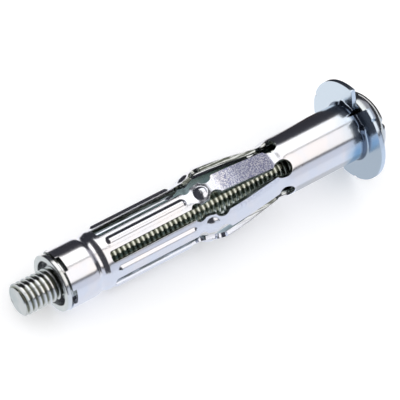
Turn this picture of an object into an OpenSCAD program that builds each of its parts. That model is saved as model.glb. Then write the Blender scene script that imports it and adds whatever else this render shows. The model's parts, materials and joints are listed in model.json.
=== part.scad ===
// Hollow wall anchor: a slotted sheet-steel sleeve with a captive nut and its machine screw.
// Each piece is drawn along +Z, from the wall face of the flange towards the screw's tip,
// and lay_down() then turns it to the way the anchor lies on a level surface.

/* [Sleeve] */
// Thickness of the sleeve's steel sheet
sheet = 0.7; // [0.5:0.05:0.9]
// Outer diameter of the barrel
barrel_d = 8.8; // [8.4:0.1:9.4]
// Length of the plain barrel, from the flange to the first crease
barrel_len = 12.95; // [10:0.05:16]

/* [Flange] */
// Diameter of the flange
flange_d = 15.7; // [14.5:0.1:18]
// Outer radius left in the corner between barrel and flange
flange_bend_r = 0.6; // [0.4:0.05:0.8]
// Width of each V slit at the flange's rim
slit_rim_w = 3.6; // [2:0.1:4]
// Width of each V slit where it enters the barrel
slit_root_w = 0.9; // [0.6:0.1:1.6]
// How far each V slit runs into the barrel
slit_barrel_len = 0.7; // [0.4:0.1:2.4]
// Angle of the pressed gussets on either side of each slit
gusset_angle = 34; // [30:1:50]
// Radius of the pressed gussets
gusset_r = 0.55; // [0.4:0.01:0.6]
// How far their centres stand off the barrel
gusset_off = 0.35; // [0.2:0.05:0.5]
// Number of small nicks in the rim
nick_count = 3; // [2:1:4]
// Radius of each nick
nick_r = 0.35; // [0.2:0.05:0.5]

/* [Arms] */
// From the middle of the round holes to the crease that the arms hinge on
hinge_lead = 0.4; // [0.2:0.05:0.8]
// Depth of that crease
crease_depth = 0.32; // [0.2:0.02:0.36]
// Number of folding arms
arm_count = 6; // [5:1:6]
// Turn of the arms about the axis, counted from the flange's slits
arm_turn = -2.5; // [-6:0.5:6]
// Width of an arm
arm_w = 2.9; // [2.4:0.05:3]
// Length of an arm's upper half, from hinge to elbow
upper_len = 10.45; // [9:0.05:14]
// Length of the stepped elbow between the two halves
elbow_len = 3.6; // [3.4:0.1:4.2]
// Length of an arm's lower half, from the elbow to the end of the slots
lower_len = 15.4; // [12:0.1:20]
// How far the elbows stand out past the barrel's radius
elbow_out = 0.95; // [0.6:0.05:1.2]
// Radius of the round holes at the slots' flange end
slot_hole_r = 1.48; // [1.2:0.02:1.6]
// Width of an arm's neck above its elbow
elbow_neck_w = 1.5; // [1.2:0.05:2]
// Width of an arm's neck below its elbow
joggle_neck_w = 1.85; // [1.4:0.05:2.2]
// From the elbow's crest to the upper neck
neck_lead = 0.95; // [0.8:0.05:1.1]
// Radius of the notches that cut the upper neck
elbow_notch_r = 1.1; // [0.9:0.05:1.2]
// From the foot of the elbow's step to the lower neck
joggle_lead = 0.52; // [0.4:0.02:0.7]
// Radius of the notches that cut the lower neck
joggle_notch_r = 0.75; // [0.6:0.05:0.85]
// Width of the stiffening bead pressed along an arm's lower half
bead_w = 1.15; // [0.8:0.05:1.4]
// Height of the stiffening bead
bead_h = 0.22; // [0.1:0.01:0.3]
// From the round boss in each elbow to the foot of the step
boss_back = 1.1; // [1.05:0.05:1.3]
// Radius of the round boss pressed into each elbow
boss_r = 1.1; // [0.9:0.05:1.2]
// How far the boss's top lies below the elbow's crest
boss_drop = 0.15; // [0.1:0.05:0.3]

/* [Collar] */
// From the end of the slots to the crest of the ring
ring_lead = 0.55; // [0.4:0.05:0.8]
// From the crest of the ring to the floor of the groove
groove_lead = 1.2; // [1:0.05:1.6]
// From the floor of the groove to the start of the collar
collar_lead = 0.85; // [0.6:0.05:1.2]
// Outer diameter of the collar and of the ring behind it
collar_d = 8.8; // [8.5:0.05:9.2]
// Depth of the groove rolled behind the nut
groove_depth = 0.3; // [0.2:0.02:0.36]
// Length of the cylindrical part of the collar
collar_len = 4.45; // [3.6:0.05:6]
// Number of notches in the collar's front edge
crimp_count = 5; // [4:1:6]
// Angle covered by each notch
crimp_angle = 33; // [24:1:40]
// Depth of each notch
crimp_depth = 0.55; // [0.3:0.05:0.8]

/* [Nut] */
// Diameter of the nut's front rim
nut_rim_d = 8.56; // [8.3:0.02:8.6]
// Thickness of the nut's front rim
nut_rim_t = 0.76; // [0.6:0.02:1.2]
// Diameter of the recess in the nut's front
nut_recess_d = 6.75; // [6.2:0.05:7]
// Depth of the recess in the nut's front
nut_recess_depth = 1.5; // [1:0.1:2.4]
// Chamfer on the nut's back edge
nut_chamfer = 0.4; // [0.3:0.05:0.6]
// Gap between the collar's front edge and the nut's rim
rim_gap = 0.2; // [0.04:0.02:0.4]
// Radial gap between nut and screw, thread taken as a plain cylinder
thread_gap = 0.05; // [0.02:0.01:0.1]
// Gap between the nut and the collar that holds it
seat_gap = 0.04; // [0.02:0.01:0.06]

/* [Screw] */
// Outer diameter of the thread
thread_d = 4.88; // [4.6:0.02:5]
// Length from under the head to the tip
screw_len = 58.5; // [57:0.1:70]
// Diameter of the flat at the tip
tip_d = 4.1; // [3.6:0.05:4.4]
// Length of the tip's chamfer
tip_chamfer = 0.45; // [0.3:0.05:0.8]
// Diameter of the head
head_d = 11; // [10.6:0.1:12]
// Height of the head
head_h = 4.2; // [3.6:0.1:5]
// Height of the head's straight edge
head_edge = 0.9; // [0.6:0.05:1.4]
// Width of the driver slot
slot_w = 1.2; // [1:0.05:1.4]
// Depth of the driver slot, from the top of the head
slot_depth = 2.0; // [1.4:0.1:2.2]
// Span of the cross recess at the top of the head
cross_span = 5.4; // [4.6:0.1:6]
// Width of the cross recess's wings
cross_w = 1.3; // [1:0.05:1.5]
// Depth of the cross recess, from the top of the head
cross_depth = 2.7; // [2.2:0.1:3]
// Turn of the driver slot about the axis
slot_turn = 136; // [0:1:180]

/* [Hidden] */
$fn = 72;
eps = 0.01;

barrel_r = barrel_d / 2;
bore_r = barrel_r - sheet;
collar_r = collar_d / 2;
groove_r = collar_r - groove_depth;
flange_r = flange_d / 2;

// Places along the axis, counted from the flange's wall face
hole_z = barrel_len + slot_hole_r;
hinge_z = hole_z + hinge_lead;
elbow_z = hinge_z + upper_len;
joggle_z = elbow_z + elbow_len;
slot_end_z = joggle_z + lower_len;
ring_z = slot_end_z + ring_lead;
groove_z = ring_z + groove_lead;
collar_z = groove_z + collar_lead;
tab_front_z = collar_z + collar_len;
nut_back_z = collar_z + seat_gap;
nut_rim_z = tab_front_z + rim_gap;
nut_front_z = nut_rim_z + nut_rim_t;
notch_front_z = tab_front_z - crimp_depth;

// The barrel runs on between the round holes as thinned tongues, which the arms cover
tongue_z = hole_z - 0.35;
tongue_r = barrel_r - 0.25;

// Places on an arm's elbow: its two necks and the boss between them
elbow_neck_z = elbow_z + neck_lead;
boss_z = joggle_z - boss_back;
joggle_neck_z = joggle_z + joggle_lead;

// An arm is a flat strip whose corners lie on the barrel's surface
flat_r = sqrt(pow(barrel_r, 2) - pow(arm_w / 2, 2));
hinge_r = flat_r - crease_depth;
elbow_r = barrel_r + elbow_out;

// The anchor rests on the two rim corners of one slit and on the collar's front edge
rim_corner_r = sqrt(pow(flange_r, 2) - pow(slit_rim_w / 2, 2));
rest_tilt = atan((rim_corner_r - collar_r) / tab_front_z);

// Outer side of an arm as [distance from the axis, place along the axis]
arm_path = [
    [barrel_r - 0.03, barrel_len - 0.4],
    [barrel_r - 0.06, barrel_len + 0.5],
    [hinge_r, hinge_z],
    [hinge_r + 0.30 * (elbow_r - hinge_r), hinge_z + 0.26 * upper_len],
    [hinge_r + 0.76 * (elbow_r - hinge_r), hinge_z + 0.66 * upper_len],
    [elbow_r, elbow_z],
    [elbow_r - 0.14, elbow_z + 1.1],
    [elbow_r - 0.62, joggle_z - 1.3],
    [flat_r + 0.2, joggle_z],
    [flat_r, joggle_z + 0.9],
    [flat_r, slot_end_z - 0.6],
    [collar_r - 0.16, ring_z - 0.1]
];

// Outer side of the ring, groove and collar, in the same form
ring_path = [
    [collar_r - 0.14, slot_end_z - 0.05],
    [collar_r, ring_z - 0.15],
    [collar_r, ring_z + 0.2],
    [groove_r, groove_z - 0.25],
    [groove_r, groove_z + 0.25],
    [collar_r, collar_z],
    [collar_r, tab_front_z]
];

// Unit vector from one point of a path to the next
function along(a, b) = (b - a) / norm(b - a);

// The path of the other side of the sheet, one thickness nearer the axis
function inner_path(path, t) = [
    for (i = [0 : len(path) - 1])
        let (
            into = along(path[max(i - 1, 0)], path[max(i, 1)]),
            out = along(path[min(i, len(path) - 2)], path[min(i + 1, len(path) - 1)]),
            mid = (into + out) / norm(into + out),
            reach = t / (mid * into)
        )
        path[i] + reach * [-mid[1], mid[0]]
];

// A path with each corner between its ends cut into an arc-like curve of n pieces
function eased(path, r, n) = concat(
    [path[0]],
    [
        for (i = [1 : len(path) - 2])
            let (
                a = path[i] - along(path[i - 1], path[i]) * min(r, 0.45 * norm(path[i] - path[i - 1])),
                b = path[i] + along(path[i], path[i + 1]) * min(r, 0.45 * norm(path[i + 1] - path[i]))
            )
            for (k = [0 : n])
                let (u = k / n)
                (1 - u) * (1 - u) * a + 2 * u * (1 - u) * path[i] + u * u * b
    ],
    [path[len(path) - 1]]
);

function reversed(path) = [for (i = [len(path) - 1 : -1 : 0]) path[i]];

// The section of a bent sheet whose outer side follows the path
module sheet_section(path, r) {
    outer = eased(path, r, 2);
    polygon(concat(outer, reversed(inner_path(outer, sheet))));
}

// Turns a piece drawn along +Z to the way the anchor lies: tip towards +X, one slit down
module lay_down() {
    rotate([0, 90 + rest_tilt, 0]) children();
}

// Copies of the children about the axis
module around(count, first = 0) {
    for (i = [0 : count - 1]) {
        rotate(first + i * 360 / count) children();
    }
}

// Barrel, bend and flange turned from one section
module barrel_and_flange() {
    bend_x = barrel_r + flange_bend_r;
    rotate_extrude() {
        polygon([
            [bore_r, flange_bend_r],
            [barrel_r, flange_bend_r],
            [barrel_r, barrel_len + 0.4],
            [tongue_r, tongue_z],
            [bore_r, tongue_z]
        ]);
        translate([bend_x, -sheet]) square([flange_r - bend_x, sheet]);
        intersection() {
            translate([bend_x, flange_bend_r]) difference() {
                circle(r = flange_bend_r + sheet);
                circle(r = flange_bend_r);
            }
            translate([bore_r - eps, -sheet - eps]) {
                square([bend_x - bore_r + eps, flange_bend_r + sheet + eps]);
            }
        }
    }
}

// One V slit: a wedge through the flange that narrows to a point in the barrel
module flange_slit() {
    root_r = bore_r - 1;
    translate([0, 0, -2 * sheet]) linear_extrude(2 * sheet + flange_bend_r) {
        polygon([
            [root_r, -slit_root_w / 2],
            [barrel_r, -slit_root_w / 2],
            [flange_r + 1, -slit_rim_w / 2 - 0.35],
            [flange_r + 1, slit_rim_w / 2 + 0.35],
            [barrel_r, slit_root_w / 2],
            [root_r, slit_root_w / 2]
        ]);
    }
    translate([root_r, 0, flange_bend_r - eps]) rotate([90, 0, 90]) {
        linear_extrude(barrel_r + 1 - root_r) {
            polygon([
                [-slit_root_w / 2, 0],
                [slit_root_w / 2, 0],
                [0, slit_barrel_len]
            ]);
        }
    }
}

// Small nick in the flange's rim
module rim_nick() {
    translate([flange_r, 0, -2 * sheet]) cylinder(r = nick_r, h = 4 * sheet, $fn = 24);
}

// Small gusset pressed into the corner between barrel and flange
module gusset() {
    translate([barrel_r + gusset_off, 0, -0.1 * sheet]) sphere(r = gusset_r, $fn = 32);
}

// Flat outline of one arm, seen along its radius: x is the place along the axis
module arm_outline() {
    hole_y = PI * barrel_r / arm_count;
    elbow_notch_y = elbow_neck_w / 2 + elbow_notch_r;
    joggle_notch_y = joggle_neck_w / 2 + joggle_notch_r;
    start_z = barrel_len - 1;
    difference() {
        translate([start_z, -arm_w / 2]) square([ring_z - start_z, arm_w]);
        for (side = [-1, 1]) {
            translate([hole_z, side * hole_y]) circle(r = slot_hole_r);
            translate([start_z - eps, side * (arm_w / 2 + hole_y - slot_hole_r) - arm_w / 2]) {
                square([hole_z - start_z + eps, arm_w]);
            }
            translate([elbow_neck_z, side * elbow_notch_y]) circle(r = elbow_notch_r);
            translate([joggle_neck_z, side * joggle_notch_y]) circle(r = joggle_notch_r);
        }
    }
}

// Stiffening bead: a rod sunk in the sheet, round at the elbow and pointed at the ring
module arm_bead() {
    rod_r = (pow(bead_w / 2, 2) + pow(bead_h, 2)) / (2 * bead_h);
    start_z = joggle_z + 1.35;
    end_z = slot_end_z - 1.1;
    point_len = 1.6;
    intersection() {
        translate([flat_r + bead_h - rod_r, 0, 0]) rotate_extrude() {
            polygon([
                [0, start_z],
                [0.45 * rod_r, start_z + 0.08],
                [0.8 * rod_r, start_z + 0.3],
                [rod_r, start_z + 0.75],
                [rod_r, end_z - point_len],
                [0, end_z + point_len]
            ]);
        }
        translate([flat_r - sheet / 2, -bead_w, start_z - 1]) {
            cube([sheet, 2 * bead_w, end_z - start_z + 3]);
        }
    }
}

// Round boss pressed outwards in an elbow's joggle
module arm_boss() {
    intersection() {
        translate([elbow_r - boss_drop - boss_r, 0, boss_z]) sphere(r = boss_r);
        translate([flat_r - 0.1, -boss_r, boss_z - boss_r]) cube(2 * boss_r);
    }
}

// One folding arm
module arm() {
    intersection() {
        translate([0, arm_w / 2 + 1, 0]) rotate([90, 0, 0]) {
            linear_extrude(arm_w + 2) sheet_section(arm_path, 0.9);
        }
        translate([bore_r - 1.5, 0, 0]) rotate([90, 0, 90]) {
            linear_extrude(elbow_r - bore_r + 3) rotate(90) mirror([0, 1]) arm_outline();
        }
    }
    arm_bead();
    arm_boss();
}

// One notch in the collar's front edge
module crimp_notch() {
    half = crimp_angle / 2;
    reach = 2 * collar_r;
    translate([0, 0, notch_front_z]) linear_extrude(2 * crimp_depth) {
        polygon([
            [0, 0],
            [reach * cos(half), -reach * sin(half)],
            [reach, 0],
            [reach * cos(half), reach * sin(half)]
        ]);
    }
}

// The sleeve: one piece of folded and rolled steel sheet
module sleeve() {
    color([0.80, 0.82, 0.86]) lay_down() {
        difference() {
            union() {
                barrel_and_flange();
                around(2, gusset_angle) gusset();
                around(2, -gusset_angle) gusset();
            }
            around(2) flange_slit();
            around(nick_count, 34) rim_nick();
            around(arm_count, 180 / arm_count + arm_turn) {
                translate([0, 0, hole_z]) rotate([0, 90, 0]) cylinder(r = slot_hole_r, h = 2 * barrel_r);
            }
        }
        around(arm_count, arm_turn) arm();
        difference() {
            rotate_extrude() sheet_section(ring_path, 0.35);
            around(crimp_count, 180 / crimp_count) crimp_notch();
        }
    }
}

// The nut: a turned bush with a front rim that the collar's tabs bear on
module nut() {
    nut_r = collar_r - sheet - seat_gap;
    rim_r = nut_rim_d / 2;
    recess_r = nut_recess_d / 2;
    hole_r = thread_d / 2 + thread_gap;
    edge = 0.15;
    color([0.72, 0.73, 0.71]) lay_down() rotate_extrude() {
        polygon([
            [hole_r, nut_back_z + nut_chamfer],
            [hole_r + nut_chamfer, nut_back_z],
            [nut_r - nut_chamfer, nut_back_z],
            [nut_r, nut_back_z + nut_chamfer],
            [nut_r, nut_rim_z],
            [rim_r - edge, nut_rim_z],
            [rim_r, nut_rim_z + edge],
            [rim_r, nut_front_z - edge],
            [rim_r - edge, nut_front_z],
            [recess_r, nut_front_z],
            [recess_r - 0.2, nut_front_z - nut_recess_depth],
            [hole_r + 0.45, nut_front_z - nut_recess_depth],
            [hole_r, nut_front_z - nut_recess_depth - 0.45]
        ]);
    }
}

// Slot and cross cut together into the top of the head
module drive_recess() {
    top_z = -sheet - head_h;
    translate([-head_d, -slot_w / 2, top_z - 1]) cube([2 * head_d, slot_w, slot_depth + 1]);
    for (turn = [0, 90]) {
        rotate(45 + turn) translate([0, cross_w / 2, 0]) rotate([90, 0, 0]) {
            linear_extrude(cross_w) {
                polygon([
                    [-cross_span / 2 - 0.3, top_z - 1],
                    [cross_span / 2 + 0.3, top_z - 1],
                    [0.2 * cross_span, top_z + 0.8 * cross_depth],
                    [0, top_z + cross_depth],
                    [-0.2 * cross_span, top_z + 0.8 * cross_depth]
                ]);
            }
        }
    }
}

// The screw: round head with a slot and cross drive, and a thread drawn as a plain cylinder
module screw() {
    head_r = head_d / 2;
    dome_h = head_h - head_edge;
    thread_r = thread_d / 2;
    tip_z = screw_len - sheet;
    steps = 12;
    dome = [
        for (i = [0 : steps])
            let (u = 90 * i / steps)
            [head_r * cos(u), -sheet - head_edge - dome_h * sin(u)]
    ];
    color([0.76, 0.77, 0.74]) lay_down() {
        difference() {
            rotate_extrude() polygon(concat([[0, -sheet], [head_r, -sheet]], dome));
            rotate(slot_turn) drive_recess();
        }
        rotate_extrude() {
            polygon([
                [0, -sheet - eps],
                [thread_r, -sheet - eps],
                [thread_r, tip_z - tip_chamfer],
                [tip_d / 2, tip_z],
                [0, tip_z]
            ]);
        }
    }
}

sleeve();
nut();
screw();
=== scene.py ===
"""Hollow wall anchor: detailed meshes, finishes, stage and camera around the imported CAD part.

Shapes are in millimetres in the anchor's own frame: Z runs along its axis from the flange's wall
face to the screw's tip, X points up and angles turn about Z from X. lay() puts a mesh in the row
frame, in metres, where the materials, the stage and the camera work.
"""

import json
import math

import bmesh
import bpy
import numpy as np
from mathutils import Matrix, Vector


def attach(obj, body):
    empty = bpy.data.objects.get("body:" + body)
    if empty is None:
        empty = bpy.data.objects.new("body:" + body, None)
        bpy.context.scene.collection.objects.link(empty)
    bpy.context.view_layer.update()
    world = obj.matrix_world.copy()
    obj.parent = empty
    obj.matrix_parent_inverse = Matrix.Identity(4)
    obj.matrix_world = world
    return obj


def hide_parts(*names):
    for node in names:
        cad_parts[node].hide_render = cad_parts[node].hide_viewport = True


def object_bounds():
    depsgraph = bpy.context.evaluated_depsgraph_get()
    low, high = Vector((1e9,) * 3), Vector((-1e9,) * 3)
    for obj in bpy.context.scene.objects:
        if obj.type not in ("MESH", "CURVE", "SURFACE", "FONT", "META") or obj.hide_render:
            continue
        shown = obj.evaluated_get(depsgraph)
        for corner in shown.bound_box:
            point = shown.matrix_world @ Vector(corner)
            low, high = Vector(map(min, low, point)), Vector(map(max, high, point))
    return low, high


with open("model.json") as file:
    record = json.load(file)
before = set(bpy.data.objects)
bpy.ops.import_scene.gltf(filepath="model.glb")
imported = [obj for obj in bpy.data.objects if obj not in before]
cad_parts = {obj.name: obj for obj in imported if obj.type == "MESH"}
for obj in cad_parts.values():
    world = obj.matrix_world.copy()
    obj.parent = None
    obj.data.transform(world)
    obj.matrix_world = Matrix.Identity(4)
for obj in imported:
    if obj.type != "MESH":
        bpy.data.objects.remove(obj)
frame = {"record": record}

MM = 0.001
CAD_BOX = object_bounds()
FLOOR_Z = CAD_BOX[0][2]

# The anchor's axes in the row frame
MOUNTS = {mount["name"]: mount for mount in frame["record"]["mounts"]}
TIPWARD = Vector(MOUNTS["barrel"]["axis"]).normalized()
SIDE = Vector((0, 1, 0))
UPWARD = TIPWARD.cross(SIDE).normalized()
LAY = Matrix((UPWARD, -SIDE, TIPWARD)).transposed()

# Flange and barrel
SHEET = 0.7
BARREL_R = 4.4
BARREL_LEN = 12.95
FLANGE_R = 7.85
BEND_R = 0.6
SLIT_RIM_W = 3.6
SLIT_ROOT_W = 0.42
SLIT_TIP_Z = 1.3
GUSSET_ANGLES = (34, -34, 146, -146)
GUSSET_HEIGHT = 0.34
GUSSET_SPREAD = 0.42
NICK_ANGLES = (-147, -27, 93)
NICK_DEPTH = 0.3

# Arms
ARMS = 6
ARM_TURN = -2.5
ARM_W = 2.9
HOLE_R = 1.48
HOLE_Z = BARREL_LEN + HOLE_R
HINGE_Z = HOLE_Z + 0.4
UPPER_LEN = 10.45
ELBOW_Z = HINGE_Z + UPPER_LEN
STEP_Z = ELBOW_Z + 3.6
SLOT_END_Z = STEP_Z + 15.4
SLOT_CORNER_R = 0.35
FLAT_R = math.sqrt(BARREL_R**2 - (ARM_W / 2) ** 2)
HINGE_R = FLAT_R - 0.32
ELBOW_R = BARREL_R + 0.95
LOWER_R = BARREL_R - 0.06
# Each neck: its place, its width and the radius of the notches beside it
NECKS = ((ELBOW_Z + 0.95, 1.5, 1.1), (STEP_Z + 0.52, 1.85, 0.75))
# From here the barrel's sectors turn until they meet the arms' own angle
TWIST_START_Z = 3.0
TWIST_LEN = BARREL_LEN - 5

# Pressed boss and bead on each arm
BOSS_Z = STEP_Z - 1.1
BOSS_R = 0.95
BOSS_HEIGHT = 0.32
BEAD_START_Z = STEP_Z + 1.35
BEAD_END_Z = SLOT_END_Z - 1.1
BEAD_HALF_W = 0.72
BEAD_FLANK = 0.6
BEAD_HEIGHT = 0.3

# Ring, groove and collar
RING_Z = SLOT_END_Z + 0.55
GROOVE_Z = RING_Z + 1.2
COLLAR_Z = GROOVE_Z + 0.85
TAB_Z = COLLAR_Z + 4.45
NOTCH_Z = TAB_Z - 0.55
GROOVE_R = BARREL_R - 0.3
NOTCHES = 5
NOTCH_ANGLE = 33
COLLAR_TURN = 1.5

# Nut
SEAT_GAP = 0.04
NUT_CHAMFER = 0.4
NUT_RIM_R = 4.28
NUT_RIM_Z = TAB_Z + 0.2
NUT_FRONT_Z = NUT_RIM_Z + 0.76
NUT_RECESS_R = 3.375
NUT_RECESS_DEPTH = 1.5
NUT_BORE_CHAMFER = 0.45
THREAD_GAP = 0.05

# Screw
THREAD_R = 2.44
ROOT_R = 1.98
PITCH = 0.8
TIP_Z = 58.5 - SHEET
TIP_R = 2.05
TIP_CHAMFER = 0.45
HEAD_R = 5.5
HEAD_H = 4.2
HEAD_EDGE = 0.9
HEAD_CHAMFER = 0.12
SLOT_W = 1.2
SLOT_DEPTH = 2.0
CROSS_SPAN = 5.4
CROSS_W = 1.3
CROSS_DEPTH = 2.7
SLOT_TURN = -44

# How finely the sleeve's half-sectors and its quarter bends are divided
SECTOR_COLUMNS = 10
ARC_STEPS = 12


def smooth(x):
    """0 below 0, 1 above 1 and a smooth rise between."""
    x = np.clip(x, 0.0, 1.0)
    return x * x * (3 - 2 * x)


def eased(points, radius, pieces=6):
    """The path with its corners rounded."""
    pts = [np.array(p, float) for p in points]
    out = [pts[0]]
    for before, corner, after in zip(pts, pts[1:], pts[2:]):
        a, b = before - corner, after - corner
        a = corner + a / np.linalg.norm(a) * min(radius, 0.48 * np.linalg.norm(a))
        b = corner + b / np.linalg.norm(b) * min(radius, 0.48 * np.linalg.norm(b))
        for k in range(pieces + 1):
            t = k / pieces
            out.append((1 - t) ** 2 * a + 2 * t * (1 - t) * corner + t * t * b)
    out.append(pts[-1])
    return np.array(out)


def places(*marks):
    """Even places from the first mark to just before the last. Marks and the steps between them
    take turns: start, step, mark, step, ..., end."""
    out = []
    for start, step, end in zip(marks[::2], marks[1::2], marks[2::2]):
        count = max(1, round((end - start) / step))
        out += [start + (end - start) * k / count for k in range(count)]
    return out


def new_object(name, data):
    obj = bpy.data.objects.new(name, data)
    bpy.context.scene.collection.objects.link(obj)
    return obj


def from_bmesh(name, bm):
    bmesh.ops.recalc_face_normals(bm, faces=bm.faces)
    mesh = bpy.data.meshes.new(name)
    bm.to_mesh(mesh)
    bm.free()
    return new_object(name, mesh)


def grid_faces(bm, rows, cyclic=False):
    """Quads between rows of vertices that have equal counts."""
    for low, high in zip(rows, rows[1:]):
        count = len(low)
        for i in range(count if cyclic else count - 1):
            k = (i + 1) % count
            bm.faces.new((low[i], low[k], high[k], high[i]))


def lathe(bm, profile, segments):
    """Turns an open profile of (radius, z) about Z. A radius of 0 makes a pole."""
    rows = []
    for radius, z in profile:
        ring = []
        for i in range(segments):
            a = 2 * math.pi * i / segments
            ring.append(bm.verts.new((radius * math.cos(a), radius * math.sin(a), z)))
        rows.append(ring)
    grid_faces(bm, rows, cyclic=True)
    bmesh.ops.remove_doubles(bm, verts=bm.verts, dist=1e-5)


def settle(obj):
    """Replaces the object's mesh by the result of its modifiers."""
    bpy.context.view_layer.update()
    graph = bpy.context.evaluated_depsgraph_get()
    mesh = bpy.data.meshes.new_from_object(obj.evaluated_get(graph))
    obj.modifiers.clear()
    obj.data = mesh


def lay(obj):
    """From the anchor's own frame in millimetres to the row frame in metres."""
    obj.data.transform(LAY.to_4x4() @ Matrix.Scale(MM, 4))
    return obj


def shade(obj, sharp_angle):
    """Smooth shading with edges sharper than the angle, in degrees, left sharp."""
    obj.data.shade_smooth()
    obj.data.set_sharp_from_angle(angle=math.radians(sharp_angle))


def bevel(obj, width, segments, angle):
    """Rounds the edges that turn by more than the angle, in degrees."""
    mod = obj.modifiers.new("edges", "BEVEL")
    mod.width = width
    mod.segments = segments
    mod.limit_method = "ANGLE"
    mod.angle_limit = math.radians(angle)


# ---------------------------------------------------------------- sleeve

# The sheet's outer side along an arm, as (z, radius)
ARM_PATH = eased(
    [
        (-1, BARREL_R),
        (BARREL_LEN + 0.3, BARREL_R),
        (HINGE_Z, HINGE_R),
        (HINGE_Z + 0.26 * UPPER_LEN, HINGE_R + 0.30 * (ELBOW_R - HINGE_R)),
        (HINGE_Z + 0.66 * UPPER_LEN, HINGE_R + 0.76 * (ELBOW_R - HINGE_R)),
        (ELBOW_Z, ELBOW_R),
        (ELBOW_Z + 1.1, ELBOW_R - 0.14),
        (STEP_Z - 1.3, ELBOW_R - 0.62),
        (STEP_Z, FLAT_R + 0.2),
        (STEP_Z + 0.9, LOWER_R),
        (SLOT_END_Z - 0.6, LOWER_R),
        (RING_Z - 0.15, BARREL_R),
        (RING_Z + 0.2, BARREL_R),
        (GROOVE_Z - 0.25, GROOVE_R),
        (GROOVE_Z + 0.25, GROOVE_R),
        (COLLAR_Z, BARREL_R),
        (TAB_Z, BARREL_R),
    ],
    0.6,
)


def arm_half_width(z):
    """Half the width of an arm's outline at z; the full sector where there is no slot."""
    full = math.pi * BARREL_R / ARMS
    if z <= HOLE_Z - HOLE_R or z >= SLOT_END_Z:
        return full
    half = full if z < HOLE_Z else ARM_W / 2
    cuts = [(HOLE_Z, full, HOLE_R)]
    cuts += [(place, width / 2 + radius, radius) for place, width, radius in NECKS]
    for place, side, radius in cuts:
        if abs(z - place) < radius:
            half = min(half, side - math.sqrt(radius**2 - (z - place) ** 2))
    if z > SLOT_END_Z - SLOT_CORNER_R:
        along = (z - SLOT_END_Z + SLOT_CORNER_R) / SLOT_CORNER_R
        half += (1 - math.sqrt(max(0.0, 1 - along**2))) * (full - half)
    return half


def bead_height(z, y):
    """Raised bead on the lower half of an arm; y is the place across the arm."""
    along = np.clip(z, BEAD_START_Z + BEAD_HALF_W, BEAD_END_Z)
    away = np.hypot(z - along, y)
    return BEAD_HEIGHT * smooth((BEAD_HALF_W - away) / BEAD_FLANK)


def boss_height(z, y):
    """Round boss pressed out of the elbow's step."""
    away = np.hypot(z - BOSS_Z, y) / BOSS_R
    return BOSS_HEIGHT * np.maximum(1 - away**3, 0) ** 1.2


def slit_half_gap(z, radius):
    """Half the gap of a flange slit: wide at the rim, ending in a point in the barrel."""
    root = SLIT_ROOT_W / 2
    if z < BEND_R:
        share = (radius - BARREL_R) / (FLANGE_R - BARREL_R)
        return root + share * (SLIT_RIM_W / 2 - root)
    return root * max(0.0, (SLIT_TIP_Z - z) / (SLIT_TIP_Z - BEND_R))


def gusset_height(turn, along):
    """Small gussets pressed in the bend; turn in degrees, along the bend's arc in millimetres."""
    height = 0.0
    for centre in GUSSET_ANGLES:
        across = math.radians((turn - centre + 180) % 360 - 180) * BARREL_R
        height += GUSSET_HEIGHT * math.exp(-(across**2 + along**2) / GUSSET_SPREAD**2)
    return height


def sleeve_places():
    """Rows of the sleeve's outer side as (z, radius, distance past the middle of the bend)."""
    bend_x = BARREL_R + BEND_R
    far_off = -9.0
    rows = [(0.0, radius, far_off) for radius in places(FLANGE_R, -0.26, bend_x)]
    quarter = [math.pi / 2 * k / ARC_STEPS for k in range(ARC_STEPS)]
    for a in quarter:
        past = BEND_R * (a - math.pi / 4)
        rows.append((BEND_R - BEND_R * math.cos(a), bend_x - BEND_R * math.sin(a), past))
    zs = places(BEND_R, 0.11, SLIT_TIP_Z, 0.4, HOLE_Z - HOLE_R)
    zs += [HOLE_Z - HOLE_R * math.cos(a) for a in quarter]
    zs += places(HOLE_Z, 0.1, HOLE_Z + 1.25, 0.3, ELBOW_Z - 0.3, 0.1, STEP_Z + 2.2)
    zs += places(STEP_Z + 2.2, 0.45, SLOT_END_Z - 1.8, 0.12, SLOT_END_Z - SLOT_CORNER_R)
    zs += places(SLOT_END_Z - SLOT_CORNER_R, 0.05, SLOT_END_Z, 0.085, COLLAR_Z + 0.6)
    zs += places(COLLAR_Z + 0.6, 0.4, NOTCH_Z, 0.14, TAB_Z) + [TAB_Z]
    half_bend = 0.79 * BEND_R
    for z in zs:
        radius = float(np.interp(z, ARM_PATH[:, 0], ARM_PATH[:, 1]))
        rows.append((z, radius, half_bend + z - BEND_R))
    return rows


def arm_flatness(z):
    """0 where the sheet keeps the tube's curve, 1 where an arm is flat across."""
    begun = smooth((z - BARREL_LEN - 0.1) / 1.5)
    ended = smooth((z - STEP_Z + 0.9) / 2.2)
    return begun * (1 - ended)


def sleeve_point(z, radius, past_bend, turn, centre):
    """A point of the outer side: turn is the angle from the arm's centre, both in radians.
    An arm is flat down to its elbow and keeps the tube's curve below it."""
    flat = arm_flatness(z)
    y = BARREL_R * turn
    if BOSS_Z - 1.4 < z < SLOT_END_Z:
        radius = radius + float(bead_height(z, y) + boss_height(z, y))
    out = radius * ((1 - flat) * math.cos(turn) + flat)
    across = (1 - flat) * radius * math.sin(turn) + flat * y
    if z < TWIST_START_Z:
        lift = gusset_height(math.degrees(centre + turn), past_bend) * math.sqrt(0.5)
        out += lift
        z += lift
    to_arms = smooth((z - TWIST_START_Z) / TWIST_LEN)
    to_collar = smooth((z - RING_Z) / (COLLAR_Z - RING_Z))
    centre += math.radians(ARM_TURN * to_arms * (1 - to_collar) + COLLAR_TURN * to_collar)
    c, s = math.cos(centre), math.sin(centre)
    return (out * c - across * s, out * s + across * c, z)


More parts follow.
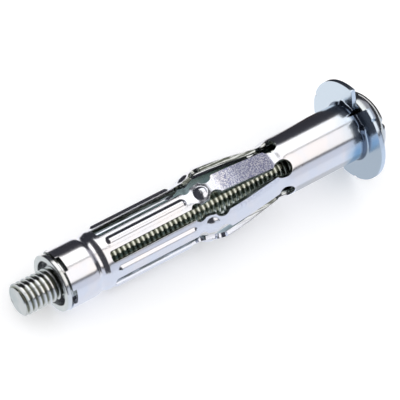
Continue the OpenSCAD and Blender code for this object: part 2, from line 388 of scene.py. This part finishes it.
def half_sector(bm, rows, sector, side):
    """The sheet from an arm's middle line to its edge on one side, from flange to collar."""
    centre = 2 * math.pi * sector / ARMS
    has_slit = sector % (ARMS // 2) == 0
    grid = []
    for z, radius, past_bend in rows:
        outer = arm_half_width(z) / BARREL_R
        inner = 0.0
        if has_slit and z < SLIT_TIP_Z:
            inner = math.asin(slit_half_gap(z, radius) / radius)
        line = []
        for k in range(SECTOR_COLUMNS + 1):
            turn = side * (inner + (outer - inner) * k / SECTOR_COLUMNS)
            line.append(bm.verts.new(sleeve_point(z, radius, past_bend, turn, centre)))
        grid.append(line)
    grid_faces(bm, grid)


def cut_collar_notches(bm):
    """Takes out the faces between the tabs of the collar's front edge."""
    pitch = 360 / NOTCHES
    doomed = []
    for face in bm.faces:
        middle = face.calc_center_median()
        turn = math.degrees(math.atan2(middle.y, middle.x)) % pitch
        in_notch = min(turn, pitch - turn) < NOTCH_ANGLE / 2
        if middle.z > NOTCH_Z and in_notch:
            doomed.append(face)
    bmesh.ops.delete(bm, geom=doomed, context="FACES")


def nick_flange(bm):
    """Small nicks in the flange's rim, each one vertex wide."""
    for vert in bm.verts:
        turn = math.degrees(math.atan2(vert.co.y, vert.co.x))
        on_rim = vert.co.z < 0.01 and vert.co.xy.length > FLANGE_R - 0.02
        if on_rim and any(abs(turn - nick) < 1.0 for nick in NICK_ANGLES):
            vert.co.xy *= (FLANGE_R - NICK_DEPTH) / FLANGE_R


def thicken(obj):
    """Gives the sheet its thickness, inwards, with materials 0 outside, 1 inside and 2 on the
    sheared edges. The whole flange keeps material 0."""
    widest = max(obj.data.polygons, key=lambda f: f.center.xy.length if f.center.z > 5 else 0)
    if widest.normal.xy.dot(widest.center.xy) < 0:
        obj.data.flip_normals()
    for _ in range(3):
        obj.data.materials.append(None)
    solid = obj.modifiers.new("sheet", "SOLIDIFY")
    solid.thickness = SHEET
    solid.offset = -1
    solid.use_even_offset = True
    solid.material_offset = 1
    solid.material_offset_rim = 2
    bevel(obj, 0.15, 3, 55)
    settle(obj)
    for face in obj.data.polygons:
        if face.center.z < SHEET + 0.1:
            face.material_index = 0


def build_sleeve():
    """One bent sheet, made from twelve half-sectors and given its thickness at the end."""
    rows = sleeve_places()
    bm = bmesh.new()
    for sector in range(ARMS):
        for side in (-1, 1):
            half_sector(bm, rows, sector, side)
    bmesh.ops.remove_doubles(bm, verts=bm.verts, dist=1e-4)
    cut_collar_notches(bm)
    nick_flange(bm)
    obj = from_bmesh("sleeve_sheet", bm)
    thicken(obj)
    shade(obj, 42)
    return lay(obj)


# ---------------------------------------------------------------- nut and screw


def build_nut():
    """A turned bush with a rim in front of the collar's tabs and a recess in its face."""
    bore = THREAD_R + THREAD_GAP
    body_r = BARREL_R - SHEET - SEAT_GAP
    back = COLLAR_Z + SEAT_GAP
    floor_z = NUT_FRONT_Z - NUT_RECESS_DEPTH
    profile = [
        (bore, back + NUT_CHAMFER),
        (bore + NUT_CHAMFER, back),
        (body_r - NUT_CHAMFER, back),
        (body_r, back + NUT_CHAMFER),
        (body_r, NUT_RIM_Z),
        (NUT_RIM_R - 0.1, NUT_RIM_Z),
        (NUT_RIM_R, NUT_RIM_Z + 0.1),
        (NUT_RIM_R, NUT_FRONT_Z - 0.16),
        (NUT_RIM_R - 0.05, NUT_FRONT_Z - 0.05),
        (NUT_RIM_R - 0.16, NUT_FRONT_Z),
        (NUT_RECESS_R + 0.1, NUT_FRONT_Z),
        (NUT_RECESS_R, NUT_FRONT_Z - 0.1),
        (NUT_RECESS_R - 0.2, floor_z),
        (bore + NUT_BORE_CHAMFER, floor_z),
        (bore, floor_z - NUT_BORE_CHAMFER),
        (bore, back + NUT_CHAMFER),
    ]
    bm = bmesh.new()
    lathe(bm, profile, 96)
    obj = from_bmesh("nut_turned", bm)
    shade(obj, 30)
    return lay(obj)


def thread_profile():
    """One pitch of the thread as (z, radius): root, flank, crest, flank."""
    return [
        (0.00, ROOT_R + 0.02),
        (0.06, ROOT_R),
        (0.12, ROOT_R + 0.02),
        (0.28, THREAD_R - 0.09),
        (0.33, THREAD_R - 0.015),
        (0.45, THREAD_R),
        (0.57, THREAD_R - 0.015),
        (0.62, THREAD_R - 0.09),
    ]


def build_thread():
    """Right-hand thread from under the head to the tip, cut square at both ends."""
    steps = 48
    start = -SHEET - 1.0
    turns = math.ceil((TIP_Z - start) / PITCH) + 2
    tip_slope = (THREAD_R + 0.2 - TIP_R) / TIP_CHAMFER
    profile = thread_profile()
    bm = bmesh.new()
    lines = []
    for i in range(turns * steps + 1):
        a = 2 * math.pi * i / steps
        line = []
        for dz, radius in profile:
            z = start - PITCH + PITCH * i / steps + dz
            radius = min(radius, TIP_R + max(0.0, TIP_Z - z) * tip_slope)
            line.append(bm.verts.new((radius * math.cos(a), radius * math.sin(a), z)))
        lines.append(line)
    for i in range((turns - 1) * steps):
        whole = lines[i] + [lines[i + steps][0]]
        after = lines[i + 1] + [lines[i + 1 + steps][0]]
        for k in range(len(profile)):
            bm.faces.new((whole[k], after[k], after[k + 1], whole[k + 1]))
    for z, direction in ((TIP_Z, 1), (-SHEET - 0.3, -1)):
        cut = bmesh.ops.bisect_plane(
            bm,
            geom=bm.verts[:] + bm.edges[:] + bm.faces[:],
            dist=1e-6,
            plane_co=(0, 0, z),
            plane_no=(0, 0, direction),
            clear_outer=True,
        )
        rim = [e for e in cut["geom_cut"] if isinstance(e, bmesh.types.BMEdge)]
        bmesh.ops.triangle_fill(bm, edges=rim, use_beauty=True)
    return from_bmesh("screw_thread", bm)


def prism(name, outline, width, turn):
    """A slab with the outline in the XZ plane, turned about Z."""
    bm = bmesh.new()
    near = [bm.verts.new((x, -width / 2, z)) for x, z in outline]
    far = [bm.verts.new((x, width / 2, z)) for x, z in outline]
    bm.faces.new(near)
    bm.faces.new(reversed(far))
    for i in range(len(outline)):
        k = (i + 1) % len(outline)
        bm.faces.new((near[i], far[i], far[k], near[k]))
    obj = from_bmesh(name, bm)
    obj.data.transform(Matrix.Rotation(math.radians(turn), 4, "Z"))
    return obj


def slot_cutter(top):
    """Cuts the slot that runs right across the head."""
    reach = 2 * HEAD_R
    deep = top + SLOT_DEPTH
    outline = [(-reach, top - 1), (reach, top - 1), (reach, deep), (-reach, deep)]
    return prism("slot_cutter", outline, SLOT_W, SLOT_TURN)


def cross_cutter(top, turn):
    """Cuts one bar of the cross recess, which narrows as it goes down."""
    half = CROSS_SPAN / 2
    outline = [
        (-half - 0.3, top - 1),
        (half + 0.3, top - 1),
        (0.4 * half, top + 0.8 * CROSS_DEPTH),
        (0, top + CROSS_DEPTH),
        (-0.4 * half, top + 0.8 * CROSS_DEPTH),
    ]
    return prism("cross_cutter", outline, CROSS_W, SLOT_TURN + 45 + turn)


def build_head():
    """Domed head with a slot and cross recess."""
    dome_h = HEAD_H - HEAD_EDGE
    edge_z = -SHEET - HEAD_EDGE
    top = -SHEET - HEAD_H
    profile = [
        (0, -SHEET),
        (HEAD_R - HEAD_CHAMFER, -SHEET),
        (HEAD_R, -SHEET - HEAD_CHAMFER),
        (HEAD_R, edge_z),
    ]
    steps = 28
    for k in range(1, steps + 1):
        a = math.pi / 2 * k / steps
        profile.append((HEAD_R * math.cos(a), edge_z - dome_h * math.sin(a)))
    bm = bmesh.new()
    lathe(bm, profile, 128)
    head = from_bmesh("screw_head", bm)
    cutters = (slot_cutter(top), cross_cutter(top, 0), cross_cutter(top, 90))
    for cutter in cutters:
        mod = head.modifiers.new("cut", "BOOLEAN")
        mod.operation = "DIFFERENCE"
        mod.solver = "EXACT"
        mod.object = cutter
    bevel(head, 0.13, 3, 40)
    settle(head)
    for cutter in cutters:
        bpy.data.objects.remove(cutter)
    return head


def build_screw():
    """Thread and head as one mesh."""
    thread, head = build_thread(), build_head()
    bm = bmesh.new()
    bm.from_mesh(thread.data)
    bm.from_mesh(head.data)
    obj = from_bmesh("screw_cut", bm)
    for part in (thread, head):
        bpy.data.objects.remove(part)
    shade(obj, 38)
    return lay(obj)


# ---------------------------------------------------------------- materials

FROST_TINT = (0.34, 0.35, 0.50, 1)
FROST_RELIEF = 1.2e-5


class Nodes:
    """Short calls for building one node tree."""

    def __init__(self, tree):
        self.tree = tree
        tree.nodes.clear()

    def fill(self, socket, value):
        if isinstance(value, bpy.types.NodeSocket):
            self.tree.links.new(value, socket)
        else:
            socket.default_value = value

    def add(self, kind, inputs=None, **settings):
        node = self.tree.nodes.new(kind)
        for key, value in settings.items():
            setattr(node, key, value)
        for key, value in (inputs or {}).items():
            self.fill(node.inputs[key], value)
        return node

    def noise(self, coords, scale, detail=2.0, rough=0.55):
        inputs = {"Vector": coords, "Scale": scale, "Detail": detail, "Roughness": rough}
        return self.add("ShaderNodeTexNoise", inputs).outputs["Fac"]

    def maths(self, operation, a, b):
        return self.add("ShaderNodeMath", {0: a, 1: b}, operation=operation).outputs[0]

    def plus(self, a, b):
        return self.maths("ADD", a, b)

    def times(self, first, *others):
        for other in others:
            first = self.maths("MULTIPLY", first, other)
        return first

    def vector(self, operation, *values):
        """A vector operation's result, which is a number for a dot product or a length."""
        node = self.add("ShaderNodeVectorMath", dict(enumerate(values)), operation=operation)
        return node.outputs["Value" if operation in ("DOT_PRODUCT", "LENGTH") else "Vector"]

    def ranged(self, value, low, high, to_low, to_high):
        inputs = {"Value": value, "From Min": low, "From Max": high}
        inputs.update({"To Min": to_low, "To Max": to_high})
        return self.add("ShaderNodeMapRange", inputs).outputs["Result"]

    def rise(self, value, low, high):
        return self.ranged(value, low, high, 0.0, 1.0)

    def fall(self, value, low, high):
        return self.ranged(value, low, high, 1.0, 0.0)

    def mixed(self, share, a, b):
        """Colour a, or colour b where share is 1."""
        node = self.add("ShaderNodeMix", data_type="RGBA")
        for index, value in ((0, share), (6, a), (7, b)):
            self.fill(node.inputs[index], value)
        return node.outputs[2]


def zinc(
    name,
    colours,
    rough,
    grain,
    bumps,
    zones=(),
    frost=None,
    groove=None,
    low_reflection_tint=None,
    lined=False,
):
    """Zinc plate: patchy tint, fine crystal grain and faint drawing streaks along the axis.

    colours are its two tints; where it is lined they lie in lines along X, partly as shearing
    leaves them and partly as painted highlight and shade lines.
    rough is the range of its roughness, grain the noise scale of its crystals, and bumps the relief
    of crystals and streaks in metres.
    The others are in millimetres along the axis, from the axis, or above the flange's centre:
    zones are (start, full, fading, end, top, colour), each a stretch of the axis with another tint,
    which fades away above the level top.
    frost is (start, end, added roughness), a coarse, matt stretch on what faces up.
    groove is (inner radius, outer radius, colour), painted shade in the thread's roots that fades
    outwards.
    The low tint is a painted reflection of the pale floor, the colour of what lies more than 2 to 3
    mm below the flange's centre.
    """
    mat = bpy.data.materials.new(name)
    mat.use_nodes = True
    n = Nodes(mat.node_tree)
    coords = n.add("ShaderNodeTexCoord").outputs["Object"]
    level = n.add("ShaderNodeSeparateXYZ", {0: coords}).outputs["Z"]
    place = n.vector("DOT_PRODUCT", coords, TIPWARD)
    drawn = n.add("ShaderNodeMapping", {"Vector": coords, "Scale": (0.06, 1.0, 1.0)}).outputs[0]
    patches = n.noise(coords, 260.0)
    crystals = n.noise(coords, grain, rough=0.6)
    streaks = n.noise(drawn, 5200.0)

    # Where lined, the two tints lie in lines: shearing marks and painted highlight and shade lines.
    colour = n.mixed(n.rise(streaks if lined else patches, 0.44, 0.60), *colours)
    # Painted reflection of the pale floor on what lies low.
    if low_reflection_tint:
        colour = n.mixed(n.fall(level, -3 * MM, -2 * MM), colour, low_reflection_tint)
    for start, full, fading, end, top, tint in zones:
        begun = n.rise(place, start * MM, full * MM)
        below_top = n.fall(level, top * MM, (top + 1.5) * MM)
        unfaded = n.fall(place, fading * MM, end * MM)
        colour = n.mixed(n.times(begun, below_top, unfaded), colour, tint)
    # Painted shade in the thread's roots, darkest at the root and fading outwards.
    if groove:
        inner, outer, root_shade = groove
        from_axis = n.vector("LENGTH", n.vector("CROSS_PRODUCT", coords, TIPWARD))
        under_head = n.rise(place, -0.5 * MM, 0.0)
        before_tip = n.fall(place, (TIP_Z - 0.16) * MM, (TIP_Z - 0.06) * MM)
        sunk = n.times(under_head, before_tip, n.fall(from_axis, inner * MM, outer * MM))
        colour = n.mixed(sunk, colour, root_shade)

    grit = n.ranged(crystals, 0.3, 0.7, *rough)
    relief = n.times(crystals, bumps[0])
    if frost:
        start, end, amount = frost
        unfaded = n.fall(place, (end - 3.5) * MM, end * MM)
        facing_up = n.rise(level, MM, 3 * MM)
        frosted = n.times(unfaded, facing_up, n.rise(place, (start - 0.4) * MM, (start + 0.4) * MM))
        grit = n.plus(grit, n.times(frosted, amount))
        relief = n.plus(relief, n.times(crystals, FROST_RELIEF, frosted))
        speckle = n.rise(n.noise(coords, 5000.0, rough=0.6), 0.45, 0.55)
        colour = n.mixed(n.times(frosted, speckle), colour, FROST_TINT)
    height = n.plus(relief, n.times(streaks, bumps[1]))
    bump = n.add("ShaderNodeBump", {"Strength": 1.0, "Distance": 1.0, "Height": height}).outputs[0]
    shader = n.add(
        "ShaderNodeBsdfPrincipled",
        {"Base Color": colour, "Metallic": 1.0, "Roughness": grit, "Normal": bump},
    )
    n.add("ShaderNodeOutputMaterial", {"Surface": shader.outputs[0]})
    return mat


def dress(obj, mats, body, node):
    """Gives the object its materials and its body, and hides the CAD part that it stands for."""
    while len(obj.data.materials) < len(mats):
        obj.data.materials.append(None)
    for index, mat in enumerate(mats):
        obj.data.materials[index] = mat
    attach(obj, body)
    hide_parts(node)


def build_anchor():
    """The three pieces in their finishes, on the bodies that carry them."""
    bright_zinc = zinc(
        "bright_zinc",
        colours=((0.80, 0.81, 0.86, 1), (0.84, 0.82, 0.84, 1)),
        rough=(0.15, 0.22),
        grain=9000.0,
        bumps=(1.6e-6, 6e-7),
        zones=(
            # Blue over the flange and the barrel's first 4 mm: painted reflection of the floor
            # shadowed under the barrel.
            (-9.0, -8.5, 1.0, 4.0, 9.0, (0.64, 0.73, 0.83, 1)),
            # Deeper blue on the neck's lower side only: painted shade and reflection, mirrored in
            # the flange.
            (0.7, 1.2, 1.6, 4.2, 1.2, (0.32, 0.52, 0.71, 1)),
            # Near-black blue in the bend behind the flange: painted dark reflection in the bend.
            (0.03, 0.13, 0.6, 1.1, 9.0, (0.12, 0.16, 0.23, 1)),
        ),
        frost=(15.2, 27.0, 0.05),
    )
    # The sheet's inner side: a darker, teal copy of the zinc, painted shade inside the tube.
    shaded_inner_zinc = zinc(
        "shaded_inner_zinc",
        colours=((0.42, 0.55, 0.54, 1), (0.50, 0.60, 0.58, 1)),
        rough=(0.25, 0.35),
        grain=9000.0,
        bumps=(2e-6, 6e-7),
    )
    # Sheared edges: near-black and pale lines, partly shearing marks and partly painted shade and
    # highlight lines; the low tint is a painted reflection of the pale floor.
    sheared_zinc = zinc(
        "sheared_zinc",
        colours=((0.10, 0.11, 0.09, 1), (0.64, 0.67, 0.66, 1)),
        rough=(0.14, 0.24),
        grain=6000.0,
        bumps=(4e-6, 4e-6),
        low_reflection_tint=(0.78, 0.81, 0.90, 1),
        lined=True,
    )
    dull_zinc = zinc(
        "dull_zinc",
        colours=((0.74, 0.76, 0.76, 1), (0.80, 0.80, 0.79, 1)),
        rough=(0.16, 0.26),
        grain=7000.0,
        bumps=(2e-6, 2e-7),
    )
    screw_zinc = zinc(
        "screw_zinc",
        colours=((0.62, 0.65, 0.66, 1), (0.72, 0.72, 0.72, 1)),
        rough=(0.12, 0.20),
        grain=8000.0,
        bumps=(1.2e-6, 2e-7),
        # Olive tint on the stretch inside the sleeve: painted shade and reflection from the sleeve
        # around it.
        zones=((0.5, 1.0, 46.0, 49.0, 9.0, (0.64, 0.66, 0.59, 1)),),
        # Painted shade in the thread's roots.
        groove=(2.0, 2.34, (0.28, 0.29, 0.23, 1)),
    )
    sleeve_mats = (bright_zinc, shaded_inner_zinc, sheared_zinc)
    dress(build_sleeve(), sleeve_mats, "anchor", "sleeve")
    dress(build_nut(), (dull_zinc,), "anchor", "nut")
    dress(build_screw(), (screw_zinc,), "screw", "screw")


# ---------------------------------------------------------------- stage, light and camera

WHITE = (1.0, 1.0, 1.0, 1)


def build_floor():
    """Pale paper; where no shadow falls the camera and clear reflections see it as pure white."""
    bm = bmesh.new()
    bmesh.ops.create_circle(bm, cap_ends=True, radius=3.0, segments=64)
    obj = from_bmesh("floor", bm)
    obj.location = (0.02, 0, FLOOR_Z)
    paper = bpy.data.materials.new("floor_paper")
    paper.use_nodes = True
    n = Nodes(paper.node_tree)
    path = n.add("ShaderNodeLightPath").outputs
    seen = n.maths("MAXIMUM", path["Is Camera Ray"], path["Is Glossy Ray"])
    seen = n.maths("MAXIMUM", seen, path["Is Transmission Ray"])
    lift = n.times(seen, 0.2)
    lifted = n.add("ShaderNodeEmission", {"Color": WHITE, "Strength": lift}).outputs[0]
    diffuse = n.add("ShaderNodeBsdfDiffuse", {"Color": (0.97, 0.97, 0.98, 1)}).outputs[0]
    both = n.add("ShaderNodeAddShader", {0: diffuse, 1: lifted}).outputs[0]
    n.add("ShaderNodeOutputMaterial", {"Surface": both})
    obj.data.materials.append(paper)


def glossy_only(name, bm, colour, strength):
    """A glowing stage piece that nothing but reflections shows."""
    glow = bpy.data.materials.new(name)
    glow.use_nodes = True
    n = Nodes(glow.node_tree)
    shader = n.add("ShaderNodeEmission", {"Color": colour, "Strength": strength})
    n.add("ShaderNodeOutputMaterial", {"Surface": shader.outputs[0]})
    obj = from_bmesh(name, bm)
    obj.data.materials.append(glow)
    obj.visible_camera = False
    obj.visible_diffuse = False
    obj.visible_shadow = False


def floor_card(name, x_range, y_range, colour, lift=0.05):
    """A flat card just over the floor. Its place in the row frame's X and Y and its lift above the
    floor are in millimetres."""
    bm = bmesh.new()
    z = FLOOR_Z + lift * MM
    rows = [[bm.verts.new((x * MM, y * MM, z)) for y in y_range] for x in x_range]
    grid_faces(bm, rows)
    glossy_only(name, bm, colour, 1.0)


def reflector(name, angles, ends, distance, colour, strength):
    """A curved panel about the anchor. Its angles rise from the viewer's side over the top, in
    degrees; its ends along the axis and its distance from it are in millimetres."""
    bm = bmesh.new()
    steps = 16
    rows = []
    for k in range(steps + 1):
        a = math.radians(angles[0] + (angles[1] - angles[0]) * k / steps)
        out = UPWARD * math.sin(a) + SIDE * math.cos(a)
        rows.append([bm.verts.new((out * distance + TIPWARD * end) * MM) for end in ends])
    grid_faces(bm, rows)
    glossy_only(name, bm, colour, strength)


def build_world():
    """White all round."""
    world = bpy.data.worlds.new("studio")
    world.use_nodes = True
    bpy.context.scene.world = world
    n = Nodes(world.node_tree)
    white = n.add("ShaderNodeBackground", {"Color": WHITE, "Strength": 1.0}).outputs[0]
    n.add("ShaderNodeOutputWorld", {"Surface": white})


def dark_tent():
    """Black cloth round the stage, so that polished metal has dark between its highlights."""
    bm = bmesh.new()
    bmesh.ops.create_icosphere(bm, subdivisions=3, radius=2.5)
    glossy_only("dark_tent", bm, (0.05, 0.05, 0.06, 1), 1.0)


def build_light():
    """The world lights the floor; the metal shows the floor, the tent, the panels and the cards."""
    build_world()
    dark_tent()
    reflector("low_panel", (-12, 25), (-160, 45), 200, (0.70, 0.74, 0.84, 1), 1.0)
    reflector("front_panel", (34, 88), (-130, 45), 200, (1.0, 0.97, 0.945, 1), 1.25)
    reflector("top_panel", (92, 139), (-118, 45), 200, WHITE, 1.45)
    reflector("head_panel", (60, 138), (-420, -125), 210, (0.80, 0.80, 0.90, 1), 0.55)
    floor_card("pale_card", (-160.0, 160.0), (-1.5, 196.0), (0.82, 0.87, 0.97, 1))
    # Painted shadow: a grey card where the floor lies in the anchor's shadow, seen only in
    # reflections.
    floor_card("painted_shadow_card", (-4.0, 9.0), (-1.5, 10.0), (0.58, 0.61, 0.65, 1), lift=0.1)
    floor_card("tip_card", (52.0, 90.0), (-40.0, 8.0), (0.76, 0.80, 0.82, 1), lift=0.1)
    floor_card("white_card", (0.0, 14.0), (-30.0, -6.5), WHITE)
    floor_card("brown_card", (-60.0, -1.5), (-60.0, -2.0), (0.05, 0.045, 0.045, 1))
    reflector("dark_card", (141, 204), (-30, 75), 26, (0.035, 0.036, 0.045, 1), 1.0)


def build_camera():
    """At the photograph's angle; the flange's centre is placed by its pixel."""
    azimuth, elevation, roll = math.radians(37.51), math.radians(52.86), math.radians(20.5)
    distance = 379.35
    focal_px, frame_px = 2600.0, 400.0
    flange_px = (147.5, 69.4)
    back = Vector(
        (
            math.cos(elevation) * math.cos(azimuth),
            math.cos(elevation) * math.sin(azimuth),
            math.sin(elevation),
        )
    )
    level = Vector((-math.sin(azimuth), math.cos(azimuth), 0))
    over = back.cross(level)
    right = level * math.cos(roll) + over * math.sin(roll)
    above = back.cross(right)
    to_flange = right * (flange_px[0] / focal_px) + above * (flange_px[1] / focal_px)
    place = (back - to_flange) * distance
    turn = Matrix((right, above, back)).transposed().to_4x4()
    data = bpy.data.cameras.new("camera")
    data.sensor_width = 36.0
    data.lens = data.sensor_width * focal_px / frame_px
    data.clip_start = 0.01
    data.clip_end = 20.0
    camera = new_object("camera", data)
    camera.matrix_world = Matrix.Translation(place * MM) @ turn
    bpy.context.scene.camera = camera


build_camera()
build_floor()
build_light()
build_anchor()

bpy.context.scene.view_settings.view_transform = "Standard"
